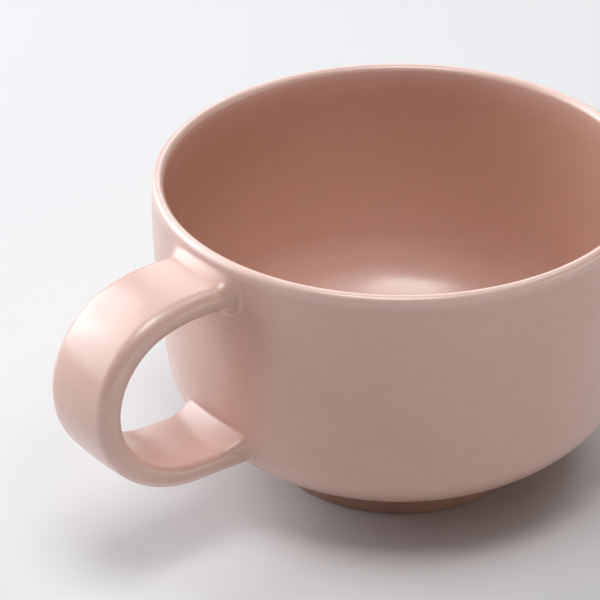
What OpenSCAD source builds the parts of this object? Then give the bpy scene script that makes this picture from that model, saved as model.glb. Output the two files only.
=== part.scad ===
// Soup mug: a wide thrown bowl on a low foot ring, with a flat strap handle set on with slip.
// The origin is on the bowl's axis at table height. +Z is up and the handle points along +X.

/* [Bowl] */
// Widest outer diameter of the bowl
bowl_d = 120; // [104:0.5:136]
// Height from the table to the top of the lip
mug_h = 77.2; // [73:0.1:88]
// Thickness of the wall and of the rounded lip
wall_t = 3; // [2.4:0.1:4]
// Height of the widest point of the wall
belly_h = 66.5; // [60:0.5:71]
// Radius of the long, slow curve of the wall
wall_curve_r = 280; // [220:5:400]
// Height where the wall turns into the shoulder
shoulder_h = 30; // [28:0.5:32]
// Radius of the shoulder
shoulder_r = 22; // [17:0.5:24]
// Radius of the curve under the bowl
under_r = 32.7; // [31:0.1:40]
// Radius of the curve around the inner floor
floor_curve_r = 30; // [27:0.5:36]
// Thickness of the floor at its middle
floor_t = 4.5; // [3.6:0.1:6]

/* [Foot ring] */
// Outer diameter of the foot ring
foot_d = 66; // [58:0.5:72]
// Height of the bowl's underside above the table
foot_h = 7.4; // [6:0.1:9]
// Width of the foot ring
foot_w = 5.5; // [4:0.1:8]
// Rounding of the two edges of the tread
foot_edge_r = 1; // [0.4:0.1:1.6]

/* [Handle] */
// Drop from the top of the lip to the upper face of the strap, at the wall
strap_drop = 4.6; // [4:0.1:9]
// Height of the strap's middle where its lower bend ends
low_h = 25.7; // [24:0.1:32]
// Width of the strap
strap_w = 22.3; // [18:0.1:28]
// Thickness of the strap at its middle
strap_t = 6.6; // [5.2:0.1:8]
// Rounding of the strap's two inner edges
strap_edge_r = 2; // [1:0.1:2.6]
// Flat left on the strap's sides between the inner and the outer rounding
strap_side = 0.5; // [0.2:0.1:1.2]
// Tilt of the strap's crowned faces at their edges, in degrees
strap_crown = 4.5; // [1:0.5:9]
// Upward tilt of the strap where it leaves the wall, in degrees
lead_rise = 5.2; // [0:0.1:12]
// Straight run of the strap out of the wall
lead_l = 5.3; // [4.4:0.1:8]
// Radius of the slow bend over the top, at the strap's middle
crest_r = 39.6; // [30:0.1:50]
// Turn of the bend over the top, in degrees
crest_turn = 19; // [10:0.5:30]
// Turn of the tight bend at the outer side, in degrees
side_turn = 107.5; // [100:0.5:120]
// Radius of the bend back towards the bowl
low_r = 25.9; // [20:0.1:30]
// Downward tilt of the strap towards its lower end, in degrees
tail_fall = 3.6; // [0:0.1:8]

/* [Slip joints] */
// Thickness of the slip between the strap's ends and the wall
slip_t = 0.5; // [0.3:0.05:1]
// Reach of the upper slip fillet along the strap and along the wall
upper_leg = 3.1; // [2:0.1:3.7]
// Reach of the lower slip fillet along the strap and along the wall
lower_leg = 4; // [2:0.1:5]
// Thickness of the fillets at their edges
fillet_edge = 0.25; // [0.1:0.05:0.5]

/* [Hidden] */
$fn = 96;
glaze_pink = [0.86, 0.74, 0.69];
slip_pink = [0.88, 0.77, 0.72];
foot_pink = [0.76, 0.62, 0.55];

// Arcs of the outer profile, as centres in the plane of radius and height.
// An arc is measured by its turn: 0 is upright, 90 lies flat under the bowl.
bowl_r = bowl_d / 2;
wall_c = [bowl_r - wall_curve_r, belly_h];
wall_turn = asin((belly_h - shoulder_h) / wall_curve_r);
shoulder_c = wall_c + (wall_curve_r - shoulder_r) * [cos(wall_turn), -sin(wall_turn)];

// Turn where the shoulder gives way to the bottom arc, for a skin that lies inset from the outside
function base_turn(inset, bottom, base_r) =
    asin((bottom + base_r - shoulder_c.y) / (base_r - shoulder_r + inset));
// Centre of that bottom arc, tangent to the shoulder and to the level of the bottom
function base_c(inset, bottom, base_r) =
    let (turn = base_turn(inset, bottom, base_r))
    shoulder_c + (base_r - shoulder_r + inset) * [-cos(turn), sin(turn)];
// Radius of an arc at height z
function arc_r(c, r, z) = c.x + sqrt(max(0, r * r - (z - c.y) * (z - c.y)));
// Radius of the bowl's outside at height z, moved out by grow
under_turn = base_turn(0, foot_h, under_r);
under_c = base_c(0, foot_h, under_r);
function outer_r(z, grow) =
    z >= belly_h - (wall_curve_r + grow) * sin(wall_turn) ? arc_r(wall_c, wall_curve_r + grow, z)
    : z >= shoulder_c.y - (shoulder_r + grow) * sin(under_turn) ? arc_r(shoulder_c, shoulder_r + grow, z)
    : arc_r(under_c, under_r + grow, z);

// Lip: half round, on the middle of the wall and square to it
lip_r = wall_t / 2;
lip_turn = asin((mug_h - lip_r - belly_h) / (wall_curve_r - lip_r));
lip_c = wall_c + (wall_curve_r - lip_r) * [cos(lip_turn), sin(lip_turn)];
floor_h = foot_h + floor_t;

// Path of the strap's middle in the XZ plane: straight, three bends, straight.
// The bend at the outer side takes the radius that brings the strap down to its lower end.
crest_a = lead_rise - crest_turn;
side_a = crest_a - side_turn;
tail_a = tail_fall - 180;
low_turn = side_a - tail_a;
function along(a) = [cos(a), sin(a)];
function outward(a) = [-sin(a), cos(a)];
upper_z = mug_h - strap_drop - strap_t / 2;
upper_end = [outer_r(upper_z, 0), upper_z];
lead_end = upper_end + lead_l * along(lead_rise);
crest_c = lead_end - crest_r * outward(lead_rise);
crest_end = crest_c + crest_r * outward(crest_a);
crest_fall = crest_r * (cos(lead_rise) - cos(crest_a));
low_fall = low_r * (cos(side_a) - cos(tail_a));
side_fall = lead_end.y - low_h - crest_fall - low_fall;
side_r = side_fall / (cos(crest_a) - cos(side_a));
side_c = crest_end - side_r * outward(crest_a);
side_end = side_c + side_r * outward(side_a);
low_c = side_end - low_r * outward(side_a);
low_end = low_c + low_r * outward(tail_a);

// Steps along each arc of the profile, around the lip, and along each bend of the strap
wall_steps = 12;
shoulder_steps = 16;
base_steps = 16;
lip_steps = 12;
bend_step = 4;
// Steps around each rounded edge of the strap, along its width, and down the slip fillet
edge_steps = 5;
width_steps = 10;
fillet_steps = 6;
// Air between the slip and what it touches, so that no faces cross
slip_gap = 0.03;
// Size of the ring inside each end face, as a share of the strap's outline
inner_share = 0.5;

// Points along an arc of the profile, from one turn to another
function arc_points(c, r, from, to, steps) =
    [for (i = [0:steps]) let (t = from + (to - from) * i / steps) c + r * [cos(t), -sin(t)]];
function without_first(list) = [for (i = [1:len(list) - 1]) list[i]];
function reversed(list) = [for (i = [len(list) - 1:-1:0]) list[i]];
// Profile of a skin that lies inset from the outside, from the lip down to the level of its bottom
function skin(inset, bottom, base_r) =
    let (turn = base_turn(inset, bottom, base_r))
    concat(
        arc_points(wall_c, wall_curve_r - inset, -lip_turn, wall_turn, wall_steps),
        without_first(arc_points(shoulder_c, shoulder_r - inset, wall_turn, turn, shoulder_steps)),
        without_first(arc_points(base_c(inset, bottom, base_r), base_r, turn, 90, base_steps))
    );
outer_skin = skin(0, foot_h, under_r);
inner_skin = skin(wall_t, floor_h, floor_curve_r);
lip_points = [
    for (i = [1:lip_steps - 1])
        let (a = lip_turn + 180 - 180 * i / lip_steps)
        lip_c + lip_r * [cos(a), sin(a)]
];

module bowl() {
    color(glaze_pink)
    rotate_extrude()
        polygon(concat(outer_skin, [[0, foot_h], [0, floor_h]], reversed(inner_skin), lip_points));
}

module foot_ring() {
    inner_r = foot_d / 2 - foot_w;
    color(foot_pink)
    rotate_extrude()
    difference() {
        union() {
            translate([inner_r, foot_edge_r])
                square([foot_w, shoulder_h - foot_edge_r]);
            translate([inner_r + foot_edge_r, 0])
                square([foot_w - 2 * foot_edge_r, shoulder_h]);
            for (r = [inner_r + foot_edge_r, foot_d / 2 - foot_edge_r])
                translate([r, foot_edge_r]) circle(foot_edge_r);
        }
        polygon(concat(outer_skin, [[0, foot_h], [0, mug_h]]));
    }
}

// Outline of the strap's section as [place, normal], counter-clockwise, thickness first:
// two crowned faces, and a rounded edge at each of the four corners.
// The outer edges take all the rounding that the sides have room for, the inner ones are tighter.
crown_rise = tan(strap_crown / 2);
inner_fall = (strap_w / 2 - strap_edge_r * (1 - sin(strap_crown))) * crown_rise;
outer_room = strap_t - strap_side - strap_edge_r * cos(strap_crown) - inner_fall - strap_w / 2 * crown_rise;
outer_edge_r = outer_room / (cos(strap_crown) - (1 - sin(strap_crown)) * crown_rise);
function edge_r(x) = x > 0 ? outer_edge_r : strap_edge_r;
function face_r(x) = (strap_w / 2 - edge_r(x) * (1 - sin(strap_crown))) / sin(strap_crown);
function face_c(x) = strap_t / 2 - face_r(x);
function edge_c(x) = [face_c(x) + (face_r(x) - edge_r(x)) * cos(strap_crown), strap_w / 2 - edge_r(x)];
function strap_face(x) = [
    for (i = [1:width_steps - 1])
        let (a = x * (2 * i / width_steps - 1) * strap_crown)
        [[x * (face_c(x) + face_r(x) * cos(a)), face_r(x) * sin(a)], [x * cos(a), sin(a)]]
];
function strap_edge(x, y, from, to) = [
    for (i = [0:edge_steps])
        let (a = from + (to - from) * i / edge_steps, n = [cos(a), sin(a)])
        [[x * edge_c(x).x, y * edge_c(x).y] + edge_r(x) * n, n]
];
strap_outline = concat(
    strap_face(1), strap_edge(1, 1, strap_crown, 90), strap_edge(-1, 1, 90, 180 - strap_crown),
    strap_face(-1), strap_edge(-1, -1, 180 + strap_crown, 270), strap_edge(1, -1, 270, 360 - strap_crown)
);
// At the lower end the strap is turned over, with its inner face on top
lower_outline = [
    for (i = [len(strap_outline) - 1:-1:0])
        let (o = strap_outline[i])
        [[-o[0].x, o[0].y], [-o[1].x, o[1].y]]
];

// Point of a joint: strap end at p, strap in direction a, section place q, distance k out along the strap
function joint_point(p, a, q, k) =
    let (s = p + q.x * outward(a) + k * along(a))
    [s.x, q.y, s.y];
// Distance k at which that line leaves the bowl's outside, moved out by grow, found by halving
function wall_k(p, a, q, grow, low = -bowl_r / 2, high = bowl_r / 2, steps = 40) =
    let (mid = (low + high) / 2, s = joint_point(p, a, q, mid))
    steps == 0 ? mid
    : norm([s.x, s.y]) > outer_r(s.z, grow) ? wall_k(p, a, q, grow, low, mid, steps - 1)
    : wall_k(p, a, q, grow, mid, high, steps - 1);
function on_wall(p, a, q, grow) = joint_point(p, a, q, wall_k(p, a, q, grow));

// Rings of the strap: across the path at a bend or a straight's end, and where an end meets the slip
function path_ring(p, a) = [for (o = strap_outline) joint_point(p, a, o[0], 0)];
function bend_rings(c, r, a, turn) =
    let (steps = ceil(turn / bend_step))
    [for (i = [1:steps]) let (b = a - turn * i / steps) path_ring(c + r * outward(b), b)];
function upper_ring(share) = [for (o = strap_outline) on_wall(upper_end, lead_rise, share * o[0], slip_t)];
function lower_ring(share) =
    [for (o = strap_outline) on_wall(low_end, tail_fall, share * [-o[0].x, o[0].y], slip_t)];

// A closed solid through rings of points, ending in a point at each end
module ring_solid(rings, first_pole, last_pole) {
    count = len(rings[0]);
    last = len(rings) - 1;
    pole = count * len(rings);
    points = concat([for (ring = rings) each ring], [first_pole, last_pole]);
    faces = concat(
        [for (i = [0:last - 1], j = [0:count - 1], half = [0, 1])
            let (k = (j + 1) % count, at = i * count, next = at + count)
            half == 0 ? [at + j, next + k, next + j] : [at + j, at + k, next + k]],
        [for (j = [0:count - 1]) [pole, (j + 1) % count, j]],
        [for (j = [0:count - 1]) [pole + 1, last * count + j, last * count + (j + 1) % count]]
    );
    polyhedron(points, faces);
}

module handle() {
    rings = concat(
        [upper_ring(inner_share), upper_ring(1), path_ring(lead_end, lead_rise)],
        bend_rings(crest_c, crest_r, lead_rise, crest_turn),
        bend_rings(side_c, side_r, crest_a, side_turn),
        bend_rings(low_c, low_r, side_a, low_turn),
        [lower_ring(1), lower_ring(inner_share)]
    );
    color(glaze_pink)
    ring_solid(rings, on_wall(upper_end, lead_rise, [0, 0], slip_t),
        on_wall(low_end, tail_fall, [0, 0], slip_t));
}

// Rings of a slip joint with a fillet of the given leg:
// out along the wall, over the fillet, and back in under the strap's end
function wall_ring(p, a, outline, share, reach) = [
    for (o = outline) on_wall(p, a, share * o[0] + reach * o[1], slip_gap)
];
function fillet_ring(p, a, outline, leg, t) = [
    for (o = outline)
        let (
            on_strap = o[0] + fillet_edge * o[1],
            off_strap = o[0] + leg * o[1],
            corner_k = wall_k(p, a, on_strap, fillet_edge),
            start = joint_point(p, a, on_strap, corner_k + leg),
            corner = joint_point(p, a, on_strap, corner_k),
            end = on_wall(p, a, off_strap, fillet_edge)
        )
        (1 - t) * (1 - t) * start + 2 * t * (1 - t) * corner + t * t * end
];
function strap_ring(p, a, outline, leg) = [
    for (o = outline)
        let (
            q = o[0] + slip_gap * o[1],
            k = wall_k(p, a, o[0] + fillet_edge * o[1], fillet_edge)
        )
        joint_point(p, a, q, k + leg)
];
function end_ring(p, a, outline, share) = [
    for (o = outline)
        on_wall(p, a, share * (o[0] + slip_gap * o[1]), slip_t - slip_gap)
];

module slip_joint(p, a, outline, leg) {
    rings = concat(
        [wall_ring(p, a, outline, inner_share, 0), wall_ring(p, a, outline, 1, 0)],
        [wall_ring(p, a, outline, 1, leg / 2), wall_ring(p, a, outline, 1, leg)],
        [for (i = [0:fillet_steps]) fillet_ring(p, a, outline, leg, 1 - i / fillet_steps)],
        [strap_ring(p, a, outline, leg), end_ring(p, a, outline, 1), end_ring(p, a, outline, inner_share)]
    );
    color(slip_pink)
    ring_solid(rings, on_wall(p, a, [0, 0], slip_gap), on_wall(p, a, [0, 0], slip_t - slip_gap));
}

module upper_slip_joint() {
    slip_joint(upper_end, lead_rise, strap_outline, upper_leg);
}

module lower_slip_joint() {
    slip_joint(low_end, tail_fall, lower_outline, lower_leg);
}

bowl();
foot_ring();
handle();
upper_slip_joint();
lower_slip_joint();
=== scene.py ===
import math

import bpy
from mathutils import Matrix, Vector


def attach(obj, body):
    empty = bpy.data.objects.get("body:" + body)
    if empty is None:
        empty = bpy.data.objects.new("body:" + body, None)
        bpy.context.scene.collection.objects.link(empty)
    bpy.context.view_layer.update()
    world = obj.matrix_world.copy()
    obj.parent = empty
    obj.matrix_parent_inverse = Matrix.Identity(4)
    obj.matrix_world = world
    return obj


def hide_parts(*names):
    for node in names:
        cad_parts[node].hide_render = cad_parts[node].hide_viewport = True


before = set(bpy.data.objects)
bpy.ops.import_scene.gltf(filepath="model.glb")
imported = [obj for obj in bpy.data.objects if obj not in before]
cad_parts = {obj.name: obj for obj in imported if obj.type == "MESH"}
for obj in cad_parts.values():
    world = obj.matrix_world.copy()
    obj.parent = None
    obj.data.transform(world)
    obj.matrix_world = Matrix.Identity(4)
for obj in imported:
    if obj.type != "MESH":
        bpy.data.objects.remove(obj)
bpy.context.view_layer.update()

# Lengths are in millimetres and angles in degrees here, and meshes are written in metres
MM = 0.001

# Driving sizes of the part, the same values as in its source
BOWL_D = 120.0
MUG_H = 77.2
WALL_T = 3.0
BELLY_H = 66.5
WALL_CURVE_R = 280.0
SHOULDER_H = 30.0
SHOULDER_R = 22.0
UNDER_R = 32.7
FLOOR_CURVE_R = 30.0
FLOOR_T = 4.5
FOOT_D = 66.0
FOOT_H = 7.4
FOOT_W = 5.5
FOOT_EDGE_R = 1.0
STRAP_DROP = 4.6
LOW_H = 25.7
STRAP_W = 22.3
STRAP_T = 6.6
STRAP_EDGE_R = 2.0
STRAP_SIDE = 0.5
STRAP_CROWN = 4.5
LEAD_RISE = 5.2
LEAD_L = 5.3
CREST_R = 39.6
CREST_TURN = 19.0
SIDE_TURN = 107.5
LOW_R = 25.9
TAIL_FALL = 3.6
SLIP_T = 0.5

# Detail that only the looks need: counts of steps first
AROUND = 240
WALL_STEPS = 60
SHOULDER_STEPS = 36
BASE_STEPS = 30
LIP_STEPS = 20
BEND_STEP = 1.6
STRAIGHT_STEP = 1.2
FACE_STEPS = 18
EDGE_STEPS = 9
FILLET_STEPS = 14
COLLAR_STEPS = 10
WALL_HALVINGS = 36
# How far each skin stays inside the solid, and the gaps and overlaps between pieces
TRIM = 0.006
FOOT_GAP = 0.02
SLIP_GAP = 0.02
SLIP_SINK = 0.02
# Hidden rings: share of a fillet's reach that leads into it, and size of the ring inside an end face
LEAD_IN = 0.06
INNER_SHARE = 0.5


# Small helpers for points in a plane
def cosd(a):
    return math.cos(math.radians(a))


def sind(a):
    return math.sin(math.radians(a))


def asind(s):
    return math.degrees(math.asin(s))


def add(p, q, k=1.0):
    return (p[0] + k * q[0], p[1] + k * q[1])


def along(a):
    return (cosd(a), sind(a))


def outward(a):
    return (-sind(a), cosd(a))


def ease(x):
    x = min(1.0, max(0.0, x))
    return x * x * (3.0 - 2.0 * x)


# Profile of the bowl, as radius and height
BOWL_R = BOWL_D / 2
WALL_C = (BOWL_R - WALL_CURVE_R, BELLY_H)
WALL_TURN = asind((BELLY_H - SHOULDER_H) / WALL_CURVE_R)
SHOULDER_C = add(WALL_C, along(-WALL_TURN), WALL_CURVE_R - SHOULDER_R)


def base_turn(inset, bottom, base_r):
    return asind((bottom + base_r - SHOULDER_C[1]) / (base_r - SHOULDER_R + inset))


def base_c(inset, bottom, base_r):
    turn = base_turn(inset, bottom, base_r)
    return add(SHOULDER_C, (-cosd(turn), sind(turn)), base_r - SHOULDER_R + inset)


def arc_r(c, r, z):
    return c[0] + math.sqrt(max(0.0, r * r - (z - c[1]) ** 2))


UNDER_TURN = base_turn(0, FOOT_H, UNDER_R)
UNDER_C = base_c(0, FOOT_H, UNDER_R)


def outer_r(z, grow):
    if z >= BELLY_H - (WALL_CURVE_R + grow) * sind(WALL_TURN):
        return arc_r(WALL_C, WALL_CURVE_R + grow, z)
    if z >= SHOULDER_C[1] - (SHOULDER_R + grow) * sind(UNDER_TURN):
        return arc_r(SHOULDER_C, SHOULDER_R + grow, z)
    return arc_r(UNDER_C, UNDER_R + grow, z)


LIP_R = WALL_T / 2
LIP_TURN = asind((MUG_H - LIP_R - BELLY_H) / (WALL_CURVE_R - LIP_R))
LIP_C = add(WALL_C, along(LIP_TURN), WALL_CURVE_R - LIP_R)
FLOOR_H = FOOT_H + FLOOR_T


def arc_points(c, r, start, end, steps):
    turns = [start + (end - start) * i / steps for i in range(steps + 1)]
    return [add(c, along(-t), r) for t in turns]


def skin(inset, bottom, base_r):
    turn = base_turn(inset, bottom, base_r)
    wall = arc_points(WALL_C, WALL_CURVE_R - inset, -LIP_TURN, WALL_TURN, WALL_STEPS)
    shoulder = arc_points(SHOULDER_C, SHOULDER_R - inset, WALL_TURN, turn, SHOULDER_STEPS)
    centre = base_c(inset, bottom, base_r)
    base = arc_points(centre, base_r, turn, 90.0, BASE_STEPS)
    flat = [(base[-1][0] * (1 - i / BASE_STEPS), bottom) for i in range(1, BASE_STEPS)]
    return wall + shoulder[1:] + base[1:] + flat


# Path of the strap's middle in the plane of the handle
CREST_A = LEAD_RISE - CREST_TURN
SIDE_A = CREST_A - SIDE_TURN
TAIL_A = TAIL_FALL - 180.0
LOW_TURN = SIDE_A - TAIL_A
UPPER_Z = MUG_H - STRAP_DROP - STRAP_T / 2
UPPER_END = (outer_r(UPPER_Z, 0), UPPER_Z)
LEAD_END = add(UPPER_END, along(LEAD_RISE), LEAD_L)
CREST_C = add(LEAD_END, outward(LEAD_RISE), -CREST_R)
CREST_END = add(CREST_C, outward(CREST_A), CREST_R)
CREST_FALL = CREST_R * (cosd(LEAD_RISE) - cosd(CREST_A))
LOW_FALL = LOW_R * (cosd(SIDE_A) - cosd(TAIL_A))
SIDE_FALL = LEAD_END[1] - LOW_H - CREST_FALL - LOW_FALL
SIDE_R = SIDE_FALL / (cosd(CREST_A) - cosd(SIDE_A))
SIDE_C = add(CREST_END, outward(CREST_A), -SIDE_R)
SIDE_END = add(SIDE_C, outward(SIDE_A), SIDE_R)
LOW_C = add(SIDE_END, outward(SIDE_A), -LOW_R)
LOW_END = add(LOW_C, outward(TAIL_A), LOW_R)

# Section of the strap as place, normal and how near a rounded edge it is, thickness first.
# The outer edges take all the rounding that the sides have room for, the inner ones are tighter.
CROWN_RISE = math.tan(math.radians(STRAP_CROWN / 2))
EDGE_SHARE = 1 - sind(STRAP_CROWN)
INNER_FALL = (STRAP_W / 2 - STRAP_EDGE_R * EDGE_SHARE) * CROWN_RISE
INNER_DEPTH = STRAP_EDGE_R * cosd(STRAP_CROWN) + INNER_FALL
OUTER_ROOM = STRAP_T - STRAP_SIDE - INNER_DEPTH - STRAP_W / 2 * CROWN_RISE
OUTER_EDGE_R = OUTER_ROOM / (cosd(STRAP_CROWN) - EDGE_SHARE * CROWN_RISE)
# How steeply the nearness rises towards the edges of a face
NEAR_POWER = 8


def edge_r(x):
    return OUTER_EDGE_R if x > 0 else STRAP_EDGE_R


def face_r(x):
    return (STRAP_W / 2 - edge_r(x) * EDGE_SHARE) / sind(STRAP_CROWN)


def face_c(x):
    return STRAP_T / 2 - face_r(x) - TRIM


def strap_face(x):
    made = []
    for i in range(1, FACE_STEPS):
        share = 2 * i / FACE_STEPS - 1
        a = x * share * STRAP_CROWN
        place = (x * (face_c(x) + face_r(x) * cosd(a)), face_r(x) * sind(a))
        made.append((place, (x * cosd(a), sind(a)), abs(share) ** NEAR_POWER))
    return made


def strap_edge(x, y, start, end):
    r = edge_r(x)
    depth = face_c(x) + (face_r(x) - r) * cosd(STRAP_CROWN)
    centre = (x * depth, y * (STRAP_W / 2 - r))
    made = []
    for i in range(EDGE_STEPS + 1):
        n = along(start + (end - start) * i / EDGE_STEPS)
        made.append((add(centre, n, r), n, 1.0))
    return made


OUTLINE = (
    strap_face(1)
    + strap_edge(1, 1, STRAP_CROWN, 90)
    + strap_edge(-1, 1, 90, 180 - STRAP_CROWN)
    + strap_face(-1)
    + strap_edge(-1, -1, 180 + STRAP_CROWN, 270)
    + strap_edge(1, -1, 270, 360 - STRAP_CROWN)
)
# At the lower end the strap is turned over, with its inner face on top
LOWER_OUTLINE = [((-q[0], q[1]), (-n[0], n[1]), near) for q, n, near in reversed(OUTLINE)]


# Points of a joint: strap end at p, strap in direction a, section place q,
# and distance k out along the strap
def joint_point(p, a, q, k):
    s = add(add(p, outward(a), q[0]), along(a), k)
    return (s[0], q[1], s[1])


def wall_k(p, a, q, grow):
    low, high = -BOWL_R / 2, BOWL_R / 2
    for _ in range(WALL_HALVINGS):
        mid = (low + high) / 2
        s = joint_point(p, a, q, mid)
        if math.hypot(s[0], s[1]) > outer_r(s[2], grow):
            high = mid
        else:
            low = mid
    return (low + high) / 2


def on_wall(p, a, q, grow):
    return joint_point(p, a, q, wall_k(p, a, q, grow))


# Meshes
def ring_faces(rings, count, wrap):
    last = len(rings) if wrap else len(rings) - 1
    faces = []
    for i in range(last):
        at, up = i * count, (i + 1) % len(rings) * count
        for j in range(count):
            k = (j + 1) % count
            faces.append((at + j, at + k, up + k, up + j))
    return faces


def ring_solid(rings, first_pole=None, last_pole=None):
    count = len(rings[0])
    points = [p for ring in rings for p in ring]
    faces = ring_faces(rings, count, first_pole is None)
    if first_pole is not None:
        pole, end = len(points), (len(rings) - 1) * count
        points += [first_pole, last_pole]
        faces += [(pole, (j + 1) % count, j) for j in range(count)]
        faces += [(pole + 1, end + j, end + (j + 1) % count) for j in range(count)]
    volume = 0.0
    for f in faces:
        a = Vector(points[f[0]])
        for i in range(1, len(f) - 1):
            volume += a.dot(Vector(points[f[i]]).cross(Vector(points[f[i + 1]])))
    if volume < 0:
        faces = [tuple(reversed(f)) for f in faces]
    return points, faces


def circle(r, z):
    turns = [2 * math.pi * j / AROUND for j in range(AROUND)]
    return [((r - TRIM) * math.cos(t), (r - TRIM) * math.sin(t), z) for t in turns]


def make_piece(name, node, solid, material, thin, inner_shade=None):
    points, faces = solid
    mesh = bpy.data.meshes.new(name)
    mesh.from_pydata([[c * MM for c in p] for p in points], [], faces)
    mesh.polygons.foreach_set("use_smooth", [True] * len(faces))
    layer = mesh.attributes.new("thin", "FLOAT", "POINT")
    layer.data.foreach_set("value", thin)
    layer = mesh.attributes.new("inner_shade", "FLOAT", "POINT")
    layer.data.foreach_set("value", inner_shade or [0.0] * len(points))
    mesh.materials.append(material)
    mesh.update()
    piece = bpy.data.objects.new(name, mesh)
    bpy.context.scene.collection.objects.link(piece)
    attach(piece, "root")
    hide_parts(node)
    return piece


# Materials
def new_material(name):
    material = bpy.data.materials.new(name)
    material.use_nodes = True
    tree = material.node_tree
    shader = tree.nodes["Principled BSDF"]
    return material, tree, shader


def noise(tree, coords, size_mm, detail, roughness=0.5):
    made = tree.nodes.new("ShaderNodeTexNoise")
    made.inputs["Scale"].default_value = 1.0 / (size_mm * MM)
    made.inputs["Detail"].default_value = detail
    made.inputs["Roughness"].default_value = roughness
    tree.links.new(coords.outputs["Object"], made.inputs["Vector"])
    return made.outputs["Fac"]


def attribute(tree, name):
    made = tree.nodes.new("ShaderNodeAttribute")
    made.attribute_name = name
    return made.outputs["Fac"]


def span(tree, value, low, high, to_low, to_high):
    made = tree.nodes.new("ShaderNodeMapRange")
    made.inputs["From Min"].default_value = low
    made.inputs["From Max"].default_value = high
    made.inputs["To Min"].default_value = to_low
    made.inputs["To Max"].default_value = to_high
    tree.links.new(value, made.inputs["Value"])
    return made.outputs["Result"]


def mix(tree, factor, first, second):
    made = tree.nodes.new("ShaderNodeMix")
    made.data_type = "RGBA"
    tree.links.new(factor, made.inputs["Factor"])
    for name, colour in (("A", first), ("B", second)):
        socket = [s for s in made.inputs if s.name == name and s.type == "RGBA"][0]
        if isinstance(colour, tuple):
            socket.default_value = (*colour, 1.0)
        else:
            tree.links.new(colour, socket)
    return [s for s in made.outputs if s.type == "RGBA"][0]


def bump(tree, height, depth_mm, before=None):
    made = tree.nodes.new("ShaderNodeBump")
    made.inputs["Strength"].default_value = 1.0
    made.inputs["Distance"].default_value = depth_mm * MM
    tree.links.new(height, made.inputs["Height"])
    if before is not None:
        tree.links.new(before, made.inputs["Normal"])
    return made.outputs["Normal"]


# Screen colours, 0 to 255, as the linear values that a shader takes
def linear(*screen):
    made = []
    for c in (value / 255 for value in screen):
        made.append(c / 12.92 if c <= 0.04045 else ((c + 0.055) / 1.055) ** 2.4)
    return tuple(made)


GLAZE_DEEP = linear(210, 166, 151)
GLAZE_PALE = linear(216, 174, 161)
GLAZE_THIN = linear(232, 202, 191)
# Painted shade colour for the inside walls of the bowl
INNER_SHADE_COLOUR = linear(200, 153, 131)
SPECK = linear(198, 148, 126)
FOOT_DEEP = linear(148, 104, 84)
FOOT_PALE = linear(168, 125, 105)
CLAY = linear(206, 178, 150)


# Glaze detail: sizes and depths are in millimetres, the rest are shares and noise levels
CLOUD_SIZE = 26.0
GRAIN_SIZE = 1.0
GRAIN_ROUGHNESS = 0.7
GRAIN_SHARE = 0.30
SPECK_SIZE = 0.8
SPECK_LEVEL = (0.74, 0.80)
SPECK_SHARE = 0.35
MOST_NOISE = (0.3, 0.7)
THIN_SHARE = 0.4
GLOSS_SIZE = 3.0
ROUGHNESS = (0.46, 0.54)
SPECULAR = 0.65
COAT_IOR = 1.55
COAT_ROUGHNESS = 0.26
WAVE_SIZE = 3.4
WAVE_DEPTH = 0.030
PEEL_SIZE = 0.55
PEEL_DEPTH = 0.006


def glaze_material(name, deep, pale, edge):
    material, tree, shader = new_material(name)
    coords = tree.nodes.new("ShaderNodeTexCoord")
    cloud = noise(tree, coords, CLOUD_SIZE, 3.0)
    colour = mix(tree, span(tree, cloud, *MOST_NOISE, 0.0, 1.0), deep, pale)
    grain = noise(tree, coords, GRAIN_SIZE, 3.0, GRAIN_ROUGHNESS)
    colour = mix(tree, span(tree, grain, *MOST_NOISE, 0.0, GRAIN_SHARE), colour, SPECK)
    speck = noise(tree, coords, SPECK_SIZE, 1.0)
    colour = mix(tree, span(tree, speck, *SPECK_LEVEL, 0.0, SPECK_SHARE), colour, SPECK)
    # Painted shade: the inside walls are mixed towards a darker, warmer colour
    colour = mix(tree, attribute(tree, "inner_shade"), colour, INNER_SHADE_COLOUR)
    thin = span(tree, attribute(tree, "thin"), 0.0, 1.0, 0.0, THIN_SHARE)
    colour = mix(tree, thin, colour, edge)
    tree.links.new(colour, shader.inputs["Base Color"])
    rough = span(tree, noise(tree, coords, GLOSS_SIZE, 2.0), *MOST_NOISE, *ROUGHNESS)
    tree.links.new(rough, shader.inputs["Roughness"])
    shader.inputs["Specular IOR Level"].default_value = SPECULAR
    shader.inputs["Coat Weight"].default_value = 1.0
    shader.inputs["Coat IOR"].default_value = COAT_IOR
    shader.inputs["Coat Roughness"].default_value = COAT_ROUGHNESS
    wave = bump(tree, noise(tree, coords, WAVE_SIZE, 1.0), WAVE_DEPTH)
    peel = bump(tree, noise(tree, coords, PEEL_SIZE, 2.0), PEEL_DEPTH, wave)
    tree.links.new(peel, shader.inputs["Normal"])
    tree.links.new(peel, shader.inputs["Coat Normal"])
    return material


glaze = glaze_material("satin_glaze", GLAZE_DEEP, GLAZE_PALE, GLAZE_THIN)
foot_glaze = glaze_material("foot_glaze", FOOT_DEEP, FOOT_PALE, CLAY)

# Bowl: one turned skin from the middle of the underside, over the lip, to the middle of the floor.
# Inside, the potter's fingers leave faint rings that fade out at the lip and at the floor's middle.
RING_DEPTH = 0.02
RING_STEPS = (11.3, 6.7)
RING_FADE = 12.0


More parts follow.
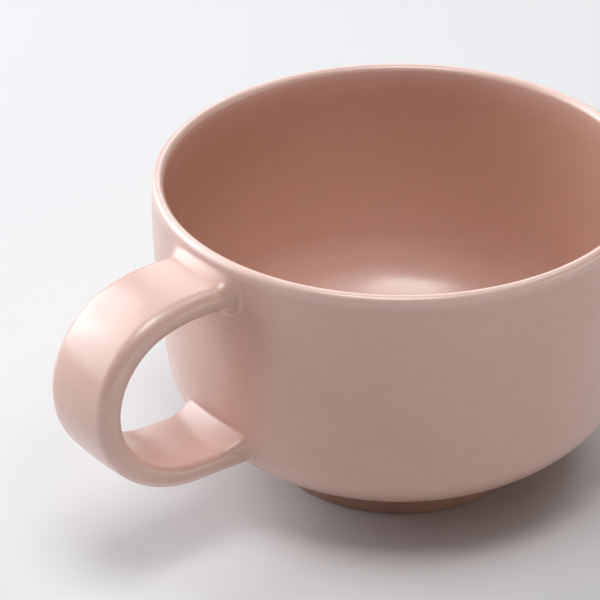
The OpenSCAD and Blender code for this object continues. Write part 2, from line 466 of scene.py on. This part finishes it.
def thrown(line):
    lengths = [0.0]
    for p, q in zip(line, line[1:]):
        lengths.append(lengths[-1] + math.hypot(q[0] - p[0], q[1] - p[1]))
    made = list(line)
    for i in range(1, len(line) - 1):
        before, after = line[i - 1], line[i + 1]
        size = math.hypot(after[0] - before[0], after[1] - before[1])
        normal = ((after[1] - before[1]) / size, -(after[0] - before[0]) / size)
        wave = sum(math.sin(2 * math.pi * lengths[i] / step) for step in RING_STEPS) / 2
        fade = ease(lengths[i] / RING_FADE) * ease((lengths[-1] - lengths[i]) / RING_FADE)
        made[i] = add(line[i], normal, RING_DEPTH * wave * fade)
    return made


outer = skin(0, FOOT_H, UNDER_R)
inner = thrown(skin(WALL_T, FLOOR_H, FLOOR_CURVE_R))
lip_turns = [LIP_TURN + 180.0 * i / LIP_STEPS for i in range(1, LIP_STEPS)]
lip = [add(LIP_C, along(t), LIP_R) for t in lip_turns]
profile = outer[::-1] + lip + inner
# The glaze thins over the lip. Inside, painted shade darkens the wall below the lip and fades out
# towards the floor
LIP_FADE = 0.9
SHADE_LIP_FADE = 9.0
SHADE_RISE = 45.0


def lip_thin(p):
    return 1.0 - ease((math.hypot(p[0] - LIP_C[0], p[1] - LIP_C[1]) - LIP_R) / LIP_FADE)


def inner_wall_shade(z):
    return ease((LIP_C[1] - z) / SHADE_LIP_FADE) * ease((z - FLOOR_H) / SHADE_RISE)


bowl_thin = [lip_thin(p) if p[1] > SHOULDER_H else 0.0 for p in profile for _ in range(AROUND)]
bowl_thin += [0.0, 0.0]
bowl_solid = ring_solid([circle(*p) for p in profile], (0, 0, FOOT_H), (0, 0, FLOOR_H))
# Painted shade on the inside wall only, none outside or on the lip
bowl_inner_shade = [0.0] * ((len(outer) + len(lip)) * AROUND)
bowl_inner_shade += [inner_wall_shade(p[1]) for p in inner for _ in range(AROUND)] + [0.0, 0.0]
make_piece("bowl_glazed", "bowl", bowl_solid, glaze, bowl_thin, bowl_inner_shade)

# Foot ring: rounded tread, upright sides, a small flare at the top, and a top along the underside
FOOT_STEPS = 8
FOOT_CORNER = 1.3


def under_z(r):
    return UNDER_C[1] - math.sqrt(UNDER_R ** 2 - max(0.0, r - UNDER_C[0]) ** 2) - FOOT_GAP


def upright(r, start, end):
    return [(r, start + (end - start) * i / FOOT_STEPS) for i in range(1, FOOT_STEPS)]


def foot_profile():
    low_r, high_r = FOOT_D / 2 - FOOT_W, FOOT_D / 2
    tread = []
    for r, start in ((low_r + FOOT_EDGE_R, 180), (high_r - FOOT_EDGE_R, 270)):
        for i in range(FOOT_STEPS + 1):
            tread.append(add((r, FOOT_EDGE_R), along(start + 90 * i / FOOT_STEPS), FOOT_EDGE_R))
    corner_z = under_z(high_r) - FOOT_CORNER
    sides = upright(high_r, FOOT_EDGE_R, corner_z)
    end = (high_r + FOOT_CORNER, under_z(high_r + FOOT_CORNER))
    for i in range(FOOT_STEPS):
        t = i / FOOT_STEPS
        r = high_r + t * t * FOOT_CORNER
        z = (1 - t) ** 2 * corner_z + 2 * t * (1 - t) * under_z(high_r) + t * t * end[1]
        sides.append((r, z))
    top = []
    for i in range(2 * FOOT_STEPS + 1):
        r = end[0] - (FOOT_W + FOOT_CORNER) * i / (2 * FOOT_STEPS)
        top.append((r, under_z(r)))
    inside = upright(low_r, top[-1][1], FOOT_EDGE_R)
    return tread + sides + top + inside


foot_points = foot_profile()
foot_thin = [1.0 - ease(p[1] / FOOT_EDGE_R) for p in foot_points for _ in range(AROUND)]
foot_solid = ring_solid([circle(*p) for p in foot_points])
make_piece("foot_ring_turned", "foot_ring", foot_solid, foot_glaze, foot_thin)


# Handle: the strap swept along its path, each end cut to the wall under the slip
def path_ring(p, a):
    return [joint_point(p, a, o[0], 0) for o in OUTLINE]


def bend_rings(c, r, a, turn):
    steps = math.ceil(turn / BEND_STEP)
    angles = [a - turn * i / steps for i in range(1, steps + 1)]
    return [path_ring(add(c, outward(b), r), b) for b in angles]


def end_ring(p, a, side, share):
    made = []
    for o in OUTLINE:
        q = (side * share * o[0][0], share * o[0][1])
        made.append(on_wall(p, a, q, SLIP_T))
    return made


def between(first, second, steps):
    made = []
    for i in range(1, steps):
        t = i / steps
        made.append([tuple(u + (v - u) * t for u, v in zip(p, q)) for p, q in zip(first, second)])
    return made


def handle_rings():
    upper, lead = end_ring(UPPER_END, LEAD_RISE, 1, 1), path_ring(LEAD_END, LEAD_RISE)
    bends = bend_rings(CREST_C, CREST_R, LEAD_RISE, CREST_TURN)
    bends += bend_rings(SIDE_C, SIDE_R, CREST_A, SIDE_TURN)
    bends += bend_rings(LOW_C, LOW_R, SIDE_A, LOW_TURN)
    lower = end_ring(LOW_END, TAIL_FALL, -1, 1)
    first = [end_ring(UPPER_END, LEAD_RISE, 1, INNER_SHARE), upper]
    last = [lower, end_ring(LOW_END, TAIL_FALL, -1, INNER_SHARE)]
    lead_steps = math.ceil(LEAD_L / STRAIGHT_STEP)
    tail_steps = math.ceil((LOW_END[0] - lower[0][0]) / STRAIGHT_STEP)
    lead_in = between(upper, lead, lead_steps) + [lead]
    return first + lead_in + bends + between(bends[-1], lower, tail_steps) + last


STRAP_THIN = 0.35
strap = handle_rings()
strap_thin = [STRAP_THIN * o[2] for _ in strap for o in OUTLINE] + [0.0, 0.0]
upper_pole = on_wall(UPPER_END, LEAD_RISE, (0, 0), SLIP_T)
lower_pole = on_wall(LOW_END, TAIL_FALL, (0, 0), SLIP_T)
strap_solid = ring_solid(strap, upper_pole, lower_pole)
make_piece("handle_strap", "handle", strap_solid, glaze, strap_thin)

# Slip joints: a fillet that runs smoothly off the strap and ends on the wall in a soft raised edge.
# Each joint has a reach along the wall and along the strap, a tightness of the bend between them,
# and a height of the raised edge, given for the upper face, the sides and the lower face of the strap.
COLLAR_W = (0.3, 1.5, 1.5)
PROBE_STEP = 0.05


def by_side(values, n):
    up, side, down = values
    return side + (up - side) * ease(n[0]) + (down - side) * ease(-n[0])


def bent(start, corner, end, share, t):
    first, second = start + share * (corner - start), end + share * (corner - end)
    ends = (1 - t) ** 3 * start + t ** 3 * end
    return ends + 3 * t * (1 - t) ** 2 * first + 3 * t * t * (1 - t) * second


def fillet_line(p, a, o, joint):
    q, n = o[0], o[1]
    bend = by_side(joint["bend"], n)
    collar = by_side(COLLAR_W, n)
    reach = by_side(joint["wall"], n) - collar
    strap_leg = by_side(joint["strap"], n)
    rise = by_side(joint["rise"], n)

    def place(r):
        return add(q, n, r)

    k_end = wall_k(p, a, place(reach), rise)
    k_near = wall_k(p, a, place(reach - PROBE_STEP), rise)
    k_corner = k_end - (k_end - k_near) / PROBE_STEP * reach
    leads = [k_corner + strap_leg * (1.0 + i * LEAD_IN) for i in (2, 1)]
    line = [joint_point(p, a, place(-SLIP_SINK), k) for k in leads]
    sink = -SLIP_SINK / 2
    for i in range(FILLET_STEPS + 1):
        t = i / FILLET_STEPS
        k = bent(k_corner + strap_leg, k_corner, k_end, bend, t)
        line.append(joint_point(p, a, place(bent(sink, sink, reach, bend, t)), k))
    for i in range(1, COLLAR_STEPS + 1):
        t = i / COLLAR_STEPS
        line.append(on_wall(p, a, place(reach + collar * t), rise - (rise + SLIP_GAP) * ease(t)))
    line.append(on_wall(p, a, place(reach + collar * (1.0 + 2 * LEAD_IN)), -2 * SLIP_GAP))
    return line


def slip_rings(p, a, joint):
    outline = joint["outline"]
    lines = [fillet_line(p, a, o, joint) for o in outline]
    fillet = [[line[i] for line in lines] for i in range(len(lines[0]))]
    halves = [by_side(joint["wall"], o[1]) / 2 for o in outline]
    under = [on_wall(p, a, add(o[0], o[1], r), SLIP_GAP) for o, r in zip(outline, halves)]
    seat = [on_wall(p, a, o[0], SLIP_GAP) for o in outline]
    end = [on_wall(p, a, add(o[0], o[1], -SLIP_SINK), SLIP_T - SLIP_GAP) for o in outline]
    shrunk = [(INNER_SHARE * o[0][0], INNER_SHARE * o[0][1]) for o in outline]
    end_middle = [on_wall(p, a, q, SLIP_T - SLIP_GAP) for q in shrunk]
    seat_middle = [on_wall(p, a, q, SLIP_GAP) for q in shrunk]
    return [end_middle, end] + fillet + [under, seat, seat_middle]


JOINTS = {
    "upper_slip": dict(
        p=UPPER_END,
        a=LEAD_RISE,
        outline=OUTLINE,
        wall=(3.2, 2.9, 2.7),
        strap=(4.6, 1.2, 1.2),
        bend=(0.5, 0.67, 0.67),
        rise=(0.04, 0.7, 0.6),
    ),
    "lower_slip": dict(
        p=LOW_END,
        a=TAIL_FALL,
        outline=LOWER_OUTLINE,
        wall=(3.5, 3.2, 3.0),
        strap=(7.6, 2.6, 2.2),
        bend=(0.3, 0.67, 0.67),
        rise=(0.04, 0.45, 0.35),
    ),
}
for name, joint in JOINTS.items():
    p, a = joint["p"], joint["a"]
    poles = (on_wall(p, a, (0, 0), SLIP_T - SLIP_GAP), on_wall(p, a, (0, 0), SLIP_GAP))
    solid = ring_solid(slip_rings(p, a, joint), *poles)
    make_piece(name + "_fillet", name + "_joint", solid, glaze, [0.0] * len(solid[0]))

# Floor
FLOOR_SIZE = 6.0
FLOOR_COLOUR = (0.685, 0.675, 0.675, 1.0)
FLOOR_ROUGHNESS = 0.9
FLOOR_SPECULAR = 0.1
floor_mesh = bpy.data.meshes.new("floor")
half = FLOOR_SIZE / 2
corners = [(-half, -half, 0), (half, -half, 0), (half, half, 0), (-half, half, 0)]
floor_mesh.from_pydata(corners, [], [(0, 1, 2, 3)])
floor = bpy.data.objects.new("floor", floor_mesh)
bpy.context.scene.collection.objects.link(floor)
floor_material, _, floor_shader = new_material("pale_floor")
floor_shader.inputs["Base Color"].default_value = FLOOR_COLOUR
floor_shader.inputs["Roughness"].default_value = FLOOR_ROUGHNESS
floor_shader.inputs["Specular IOR Level"].default_value = FLOOR_SPECULAR
floor_mesh.materials.append(floor_material)

# Light, with left and right as in the photograph: daylight from a window behind on the left and from
# the walls beside it, a soft panel overhead with a dim ceiling, a lamp above on the right, low cards
# on the right and in front, and a faint room. Azimuths are from the handle, lengths in metres.
LIGHT_AIM = Vector((0.0, 0.0, 0.04))
DAYLIGHT = (0.95, 0.99, 1.03)
SOFT_WHITE = (0.98, 1.0, 1.02)
WHITE = (1.0, 1.0, 1.0)


def soft_light(name, azimuth, away, height, size, radiance, colour):
    lamp = bpy.data.lights.new(name, "AREA")
    lamp.shape = "RECTANGLE"
    lamp.size, lamp.size_y = size
    lamp.energy = radiance * math.pi * size[0] * size[1]
    lamp.color = colour
    place = bpy.data.objects.new(name, lamp)
    place.location = (away * cosd(azimuth), away * sind(azimuth), height)
    aim = Vector(place.location) - LIGHT_AIM
    place.rotation_euler = aim.to_track_quat("Z", "Y").to_euler()
    place.visible_camera = False
    bpy.context.scene.collection.objects.link(place)


soft_light("window", -76.0, 1.24, 0.755, (1.12, 1.16), 4.3, DAYLIGHT)
soft_light("left_wall", -47.0, 1.25, 0.52, (0.80, 0.76), 3.0, DAYLIGHT)
soft_light("back_wall", -130.0, 1.25, 0.78, (0.70, 1.20), 2.1, DAYLIGHT)
soft_light("overhead", 33.0, 0.225, 1.10, (0.48, 0.48), 8.2, SOFT_WHITE)
soft_light("ceiling", 85.0, 0.55, 1.10, (0.80, 0.60), 1.0, WHITE)
soft_light("right_lamp", 160.0, 0.58, 1.10, (0.50, 0.30), 4.0, WHITE)
soft_light("right_card", 130.0, 0.90, 0.11, (0.60, 0.18), 3.3, WHITE)
soft_light("front_card", 72.0, 0.90, 0.07, (0.70, 0.12), 1.9, WHITE)
ROOM_LIGHT = 0.02
world = bpy.data.worlds.new("room")
world.use_nodes = True
room = world.node_tree.nodes["Background"]
room.inputs["Color"].default_value = (*WHITE, 1.0)
room.inputs["Strength"].default_value = ROOM_LIGHT
bpy.context.scene.world = world

# Camera: place and axes found by fitting the lip, wall, handle and foot in the photograph
CAMERA_AT = Vector((412.060, 483.167, 419.501)) * MM
CAMERA_RIGHT = Vector((-0.78136104, 0.62398972, -0.01057138))
CAMERA_UP = Vector((-0.32634312, -0.39409154, 0.85918102))
CAMERA_BACK = Vector((0.53195403, 0.67478047, 0.51156253))
SENSOR = 36.0
LENS = 180.0
NEAREST = 0.01
camera = bpy.data.cameras.new("camera")
camera.sensor_width = SENSOR
camera.lens = LENS
camera.clip_start = NEAREST
camera_obj = bpy.data.objects.new("camera", camera)
axes = Matrix((CAMERA_RIGHT, CAMERA_UP, CAMERA_BACK)).transposed().to_4x4()
camera_obj.matrix_world = Matrix.Translation(CAMERA_AT) @ axes
bpy.context.scene.collection.objects.link(camera_obj)
bpy.context.scene.camera = camera_obj
bpy.context.scene.view_settings.view_transform = "Standard"
